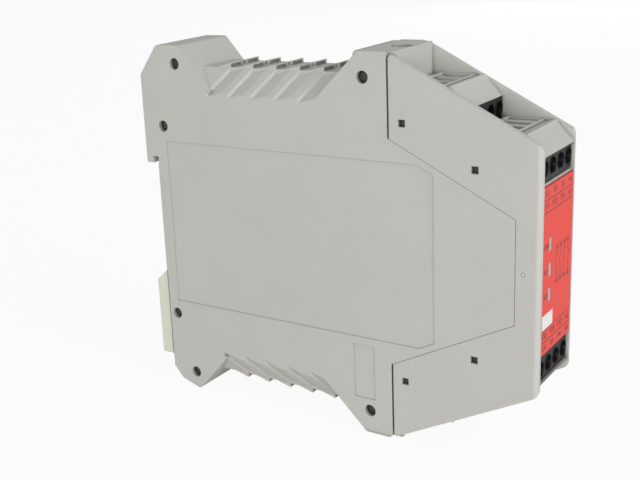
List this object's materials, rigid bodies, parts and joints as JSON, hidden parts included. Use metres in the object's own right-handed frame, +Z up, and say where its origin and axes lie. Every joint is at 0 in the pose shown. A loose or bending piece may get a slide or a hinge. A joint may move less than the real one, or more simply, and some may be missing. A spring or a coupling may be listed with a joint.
{
  "type": "safety relay",
  "caption": "Slim rail-mounted safety relay with a stepped hood of clamp terminals, a red front label and a sliding rail latch.",
  "frame": {"origin": "Middle of the rail seat: middle of the width and of the height, on the plane that rests on the rail.", "axes": "X across the width, Y from front to back with the rail behind at +Y and the label facing -Y, Z up."},
  "size_m": [0.0226, 0.115, 0.1],
  "materials": {
    "housing_grey": "light warm grey moulded plastic, fine spark texture",
    "label_red": "red printed label",
    "terminal_black": "black moulded plastic",
    "latch_cream": "pale cream moulded plastic",
    "clear_plastic": "clear moulded light guide",
    "spring_steel": "spring wire",
    "zinc_steel": "zinc-plated steel",
    "tinned_brass": "tin-plated contact bar",
    "board_green": "green solder mask",
    "relay_case": "sealed relay case",
    "can_aluminium": "aluminium can with sleeve",
    "chip_black": "black epoxy package",
    "lamp_lens": "coloured lamp lens"
  },
  "bodies": {
    "housing": {"left_shell": "housing_grey", "right_shell": "housing_grey", "front_hood": "housing_grey", "front_label": "label_red", "light_guide": "clear_plastic", "terminal_block_upper_rear": "terminal_black", "terminal_block_upper_front": "terminal_black", "terminal_block_lower_rear": "terminal_black", "terminal_block_lower_front": "terminal_black", "contact_bars_upper_rear": "tinned_brass", "contact_bars_upper_front": "tinned_brass", "contact_bars_lower_rear": "tinned_brass", "contact_bars_lower_front": "tinned_brass", "main_board": "board_green", "front_board": "board_green", "board_connector": "terminal_black", "relay_k1": "relay_case", "relay_k2": "relay_case", "capacitors": "can_aluminium", "logic_chips": "chip_black", "indicator_leds": "lamp_lens", "latch_spring": "spring_steel"},
    "rail_latch": {"rail_latch": "latch_cream"},
    "screw_upper_rear_1": {"terminal_screw_upper_rear_1": "zinc_steel"},
    "cage_upper_rear_1": {"clamp_cage_upper_rear_1": "zinc_steel"},
    "screw_upper_rear_2": {"terminal_screw_upper_rear_2": "zinc_steel"},
    "cage_upper_rear_2": {"clamp_cage_upper_rear_2": "zinc_steel"},
    "screw_upper_rear_3": {"terminal_screw_upper_rear_3": "zinc_steel"},
    "cage_upper_rear_3": {"clamp_cage_upper_rear_3": "zinc_steel"},
    "screw_upper_rear_4": {"terminal_screw_upper_rear_4": "zinc_steel"},
    "cage_upper_rear_4": {"clamp_cage_upper_rear_4": "zinc_steel"},
    "screw_upper_front_1": {"terminal_screw_upper_front_1": "zinc_steel"},
    "cage_upper_front_1": {"clamp_cage_upper_front_1": "zinc_steel"},
    "screw_upper_front_2": {"terminal_screw_upper_front_2": "zinc_steel"},
    "cage_upper_front_2": {"clamp_cage_upper_front_2": "zinc_steel"},
    "screw_upper_front_3": {"terminal_screw_upper_front_3": "zinc_steel"},
    "cage_upper_front_3": {"clamp_cage_upper_front_3": "zinc_steel"},
    "screw_upper_front_4": {"terminal_screw_upper_front_4": "zinc_steel"},
    "cage_upper_front_4": {"clamp_cage_upper_front_4": "zinc_steel"},
    "screw_lower_rear_1": {"terminal_screw_lower_rear_1": "zinc_steel"},
    "cage_lower_rear_1": {"clamp_cage_lower_rear_1": "zinc_steel"},
    "screw_lower_rear_2": {"terminal_screw_lower_rear_2": "zinc_steel"},
    "cage_lower_rear_2": {"clamp_cage_lower_rear_2": "zinc_steel"},
    "screw_lower_rear_3": {"terminal_screw_lower_rear_3": "zinc_steel"},
    "cage_lower_rear_3": {"clamp_cage_lower_rear_3": "zinc_steel"},
    "screw_lower_rear_4": {"terminal_screw_lower_rear_4": "zinc_steel"},
    "cage_lower_rear_4": {"clamp_cage_lower_rear_4": "zinc_steel"},
    "screw_lower_front_1": {"terminal_screw_lower_front_1": "zinc_steel"},
    "cage_lower_front_1": {"clamp_cage_lower_front_1": "zinc_steel"},
    "screw_lower_front_2": {"terminal_screw_lower_front_2": "zinc_steel"},
    "cage_lower_front_2": {"clamp_cage_lower_front_2": "zinc_steel"},
    "screw_lower_front_3": {"terminal_screw_lower_front_3": "zinc_steel"},
    "cage_lower_front_3": {"clamp_cage_lower_front_3": "zinc_steel"},
    "screw_lower_front_4": {"terminal_screw_lower_front_4": "zinc_steel"},
    "cage_lower_front_4": {"clamp_cage_lower_front_4": "zinc_steel"}
  },
  "joints": [
    {"name": "latch_slide", "type": "slide", "parent": "housing", "child": "rail_latch", "axis": [0, 0, -1], "range_m": [0, 0.004], "stiffness_N_per_m": 400, "springref_m": -0.002, "deforming": ["latch_spring"]},
    {"name": "screw_turn_upper_rear_1", "type": "hinge", "parent": "housing", "child": "screw_upper_rear_1", "pos_m": [-0.0075, -0.093, 0.0343], "axis": [0, 1, 0], "range_deg": [0, 1080]},
    {"name": "cage_lift_upper_rear_1", "type": "slide", "parent": "housing", "child": "cage_upper_rear_1", "axis": [0, -1, 0], "range_m": [0, 0.0015]},
    {"name": "screw_turn_upper_rear_2", "type": "hinge", "parent": "housing", "child": "screw_upper_rear_2", "pos_m": [-0.0025, -0.093, 0.0343], "axis": [0, 1, 0], "range_deg": [0, 1080]},
    {"name": "cage_lift_upper_rear_2", "type": "slide", "parent": "housing", "child": "cage_upper_rear_2", "axis": [0, -1, 0], "range_m": [0, 0.0015]},
    {"name": "screw_turn_upper_rear_3", "type": "hinge", "parent": "housing", "child": "screw_upper_rear_3", "pos_m": [0.0025, -0.093, 0.0343], "axis": [0, 1, 0], "range_deg": [0, 1080]},
    {"name": "cage_lift_upper_rear_3", "type": "slide", "parent": "housing", "child": "cage_upper_rear_3", "axis": [0, -1, 0], "range_m": [0, 0.0015]},
    {"name": "screw_turn_upper_rear_4", "type": "hinge", "parent": "housing", "child": "screw_upper_rear_4", "pos_m": [0.0075, -0.093, 0.0343], "axis": [0, 1, 0], "range_deg": [0, 1080]},
    {"name": "cage_lift_upper_rear_4", "type": "slide", "parent": "housing", "child": "cage_upper_rear_4", "axis": [0, -1, 0], "range_m": [0, 0.0015]},
    {"name": "screw_turn_upper_front_1", "type": "hinge", "parent": "housing", "child": "screw_upper_front_1", "pos_m": [-0.0075, -0.1102, 0.0243], "axis": [0, 1, 0], "range_deg": [0, 1080]},
    {"name": "cage_lift_upper_front_1", "type": "slide", "parent": "housing", "child": "cage_upper_front_1", "axis": [0, -1, 0], "range_m": [0, 0.0015]},
    {"name": "screw_turn_upper_front_2", "type": "hinge", "parent": "housing", "child": "screw_upper_front_2", "pos_m": [-0.0025, -0.1102, 0.0243], "axis": [0, 1, 0], "range_deg": [0, 1080]},
    {"name": "cage_lift_upper_front_2", "type": "slide", "parent": "housing", "child": "cage_upper_front_2", "axis": [0, -1, 0], "range_m": [0, 0.0015]},
    {"name": "screw_turn_upper_front_3", "type": "hinge", "parent": "housing", "child": "screw_upper_front_3", "pos_m": [0.0025, -0.1102, 0.0243], "axis": [0, 1, 0], "range_deg": [0, 1080]},
    {"name": "cage_lift_upper_front_3", "type": "slide", "parent": "housing", "child": "cage_upper_front_3", "axis": [0, -1, 0], "range_m": [0, 0.0015]},
    {"name": "screw_turn_upper_front_4", "type": "hinge", "parent": "housing", "child": "screw_upper_front_4", "pos_m": [0.0075, -0.1102, 0.0243], "axis": [0, 1, 0], "range_deg": [0, 1080]},
    {"name": "cage_lift_upper_front_4", "type": "slide", "parent": "housing", "child": "cage_upper_front_4", "axis": [0, -1, 0], "range_m": [0, 0.0015]},
    {"name": "screw_turn_lower_rear_1", "type": "hinge", "parent": "housing", "child": "screw_lower_rear_1", "pos_m": [-0.0075, -0.093, -0.0343], "axis": [0, 1, 0], "range_deg": [0, 1080]},
    {"name": "cage_lift_lower_rear_1", "type": "slide", "parent": "housing", "child": "cage_lower_rear_1", "axis": [0, -1, 0], "range_m": [0, 0.0015]},
    {"name": "screw_turn_lower_rear_2", "type": "hinge", "parent": "housing", "child": "screw_lower_rear_2", "pos_m": [-0.0025, -0.093, -0.0343], "axis": [0, 1, 0], "range_deg": [0, 1080]},
    {"name": "cage_lift_lower_rear_2", "type": "slide", "parent": "housing", "child": "cage_lower_rear_2", "axis": [0, -1, 0], "range_m": [0, 0.0015]},
    {"name": "screw_turn_lower_rear_3", "type": "hinge", "parent": "housing", "child": "screw_lower_rear_3", "pos_m": [0.0025, -0.093, -0.0343], "axis": [0, 1, 0], "range_deg": [0, 1080]},
    {"name": "cage_lift_lower_rear_3", "type": "slide", "parent": "housing", "child": "cage_lower_rear_3", "axis": [0, -1, 0], "range_m": [0, 0.0015]},
    {"name": "screw_turn_lower_rear_4", "type": "hinge", "parent": "housing", "child": "screw_lower_rear_4", "pos_m": [0.0075, -0.093, -0.0343], "axis": [0, 1, 0], "range_deg": [0, 1080]},
    {"name": "cage_lift_lower_rear_4", "type": "slide", "parent": "housing", "child": "cage_lower_rear_4", "axis": [0, -1, 0], "range_m": [0, 0.0015]},
    {"name": "screw_turn_lower_front_1", "type": "hinge", "parent": "housing", "child": "screw_lower_front_1", "pos_m": [-0.0075, -0.1102, -0.0243], "axis": [0, 1, 0], "range_deg": [0, 1080]},
    {"name": "cage_lift_lower_front_1", "type": "slide", "parent": "housing", "child": "cage_lower_front_1", "axis": [0, -1, 0], "range_m": [0, 0.0015]},
    {"name": "screw_turn_lower_front_2", "type": "hinge", "parent": "housing", "child": "screw_lower_front_2", "pos_m": [-0.0025, -0.1102, -0.0243], "axis": [0, 1, 0], "range_deg": [0, 1080]},
    {"name": "cage_lift_lower_front_2", "type": "slide", "parent": "housing", "child": "cage_lower_front_2", "axis": [0, -1, 0], "range_m": [0, 0.0015]},
    {"name": "screw_turn_lower_front_3", "type": "hinge", "parent": "housing", "child": "screw_lower_front_3", "pos_m": [0.0025, -0.1102, -0.0243], "axis": [0, 1, 0], "range_deg": [0, 1080]},
    {"name": "cage_lift_lower_front_3", "type": "slide", "parent": "housing", "child": "cage_lower_front_3", "axis": [0, -1, 0], "range_m": [0, 0.0015]},
    {"name": "screw_turn_lower_front_4", "type": "hinge", "parent": "housing", "child": "screw_lower_front_4", "pos_m": [0.0075, -0.1102, -0.0243], "axis": [0, 1, 0], "range_deg": [0, 1080]},
    {"name": "cage_lift_lower_front_4", "type": "slide", "parent": "housing", "child": "cage_lower_front_4", "axis": [0, -1, 0], "range_m": [0, 0.0015]}
  ],
  "couplings": [
    {"joint": "screw_turn_upper_rear_1", "follows": "cage_lift_upper_rear_1", "rad_per_m": 12566},
    {"joint": "screw_turn_upper_rear_2", "follows": "cage_lift_upper_rear_2", "rad_per_m": 12566},
    {"joint": "screw_turn_upper_rear_3", "follows": "cage_lift_upper_rear_3", "rad_per_m": 12566},
    {"joint": "screw_turn_upper_rear_4", "follows": "cage_lift_upper_rear_4", "rad_per_m": 12566},
    {"joint": "screw_turn_upper_front_1", "follows": "cage_lift_upper_front_1", "rad_per_m": 12566},
    {"joint": "screw_turn_upper_front_2", "follows": "cage_lift_upper_front_2", "rad_per_m": 12566},
    {"joint": "screw_turn_upper_front_3", "follows": "cage_lift_upper_front_3", "rad_per_m": 12566},
    {"joint": "screw_turn_upper_front_4", "follows": "cage_lift_upper_front_4", "rad_per_m": 12566},
    {"joint": "screw_turn_lower_rear_1", "follows": "cage_lift_lower_rear_1", "rad_per_m": 12566},
    {"joint": "screw_turn_lower_rear_2", "follows": "cage_lift_lower_rear_2", "rad_per_m": 12566},
    {"joint": "screw_turn_lower_rear_3", "follows": "cage_lift_lower_rear_3", "rad_per_m": 12566},
    {"joint": "screw_turn_lower_rear_4", "follows": "cage_lift_lower_rear_4", "rad_per_m": 12566},
    {"joint": "screw_turn_lower_front_1", "follows": "cage_lift_lower_front_1", "rad_per_m": 12566},
    {"joint": "screw_turn_lower_front_2", "follows": "cage_lift_lower_front_2", "rad_per_m": 12566},
    {"joint": "screw_turn_lower_front_3", "follows": "cage_lift_lower_front_3", "rad_per_m": 12566},
    {"joint": "screw_turn_lower_front_4", "follows": "cage_lift_lower_front_4", "rad_per_m": 12566}
  ]
}
